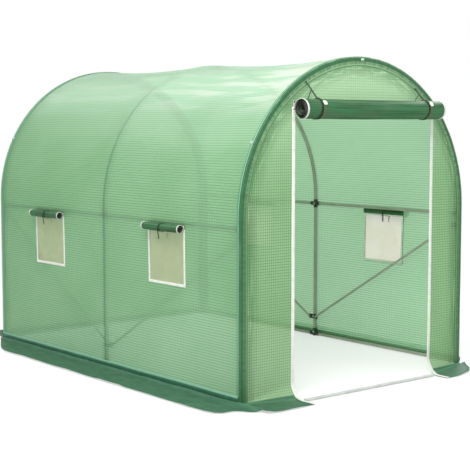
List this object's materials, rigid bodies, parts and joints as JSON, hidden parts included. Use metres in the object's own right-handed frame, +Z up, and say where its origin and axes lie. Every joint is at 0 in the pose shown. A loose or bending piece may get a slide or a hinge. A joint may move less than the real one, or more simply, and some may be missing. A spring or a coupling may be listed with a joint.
{
  "type": "polytunnel greenhouse",
  "caption": "Walk-in polytunnel greenhouse: steel hoops under a reinforced film cover, with a rolled-up door, netted side windows and ground flaps.",
  "frame": {"origin": "on the ground, under the middle of the tunnel", "axes": "+X across to the right as seen facing the door, +Y along the tunnel away from the door, +Z up"},
  "size_m": [2.4666, 3.3716, 2.0333],
  "materials": {
    "steel_tube": "satin grey-green coated steel tube",
    "bright_tube": "galvanised steel tube",
    "dark_fitting": "dark moulded connectors",
    "grid_film": "translucent green polyethylene with a reinforcing grid",
    "plain_film": "plain green polyethylene, satin",
    "white_tape": "white sewn tape",
    "rolled_film": "many layers of rolled green film, satin",
    "webbing": "dark woven tape",
    "white_plastic": "white moulded buckle",
    "insect_net": "fine pale insect net"
  },
  "bodies": {
    "root": {"front_hoop": "steel_tube", "middle_hoop": "steel_tube", "rear_hoop": "steel_tube", "left_side_rail": "steel_tube", "right_side_rail": "steel_tube", "ridge_rail": "steel_tube", "left_base_rail": "steel_tube", "right_base_rail": "steel_tube", "door_sill_tube": "bright_tube", "rear_cross_rail": "bright_tube", "left_braces": "steel_tube", "right_braces": "steel_tube", "ridge_fittings": "dark_fitting", "side_rail_fittings": "dark_fitting", "base_fittings": "dark_fitting", "brace_clips": "dark_fitting", "left_wall": "grid_film", "right_wall": "grid_film", "left_roof": "grid_film", "right_roof": "grid_film", "front_panel_left": "grid_film", "front_panel_right": "grid_film", "front_panel_top": "grid_film", "rear_panel": "grid_film", "front_hem": "plain_film", "rear_hem": "plain_film", "base_bands": "plain_film", "left_flap": "plain_film", "right_flap": "plain_film", "front_left_flap": "plain_film", "front_right_flap": "plain_film", "rear_flap": "plain_film", "door_tapes": "white_tape", "door_roll": "rolled_film", "door_straps": "webbing", "strap_buckles": "white_plastic", "left_window_frames": "white_tape", "right_window_frames": "white_tape", "left_window_nets": "insect_net", "right_window_nets": "insect_net", "left_window_rolls": "rolled_film", "right_window_rolls": "rolled_film", "left_window_ties": "webbing", "right_window_ties": "webbing"}
  },
  "joints": []
}
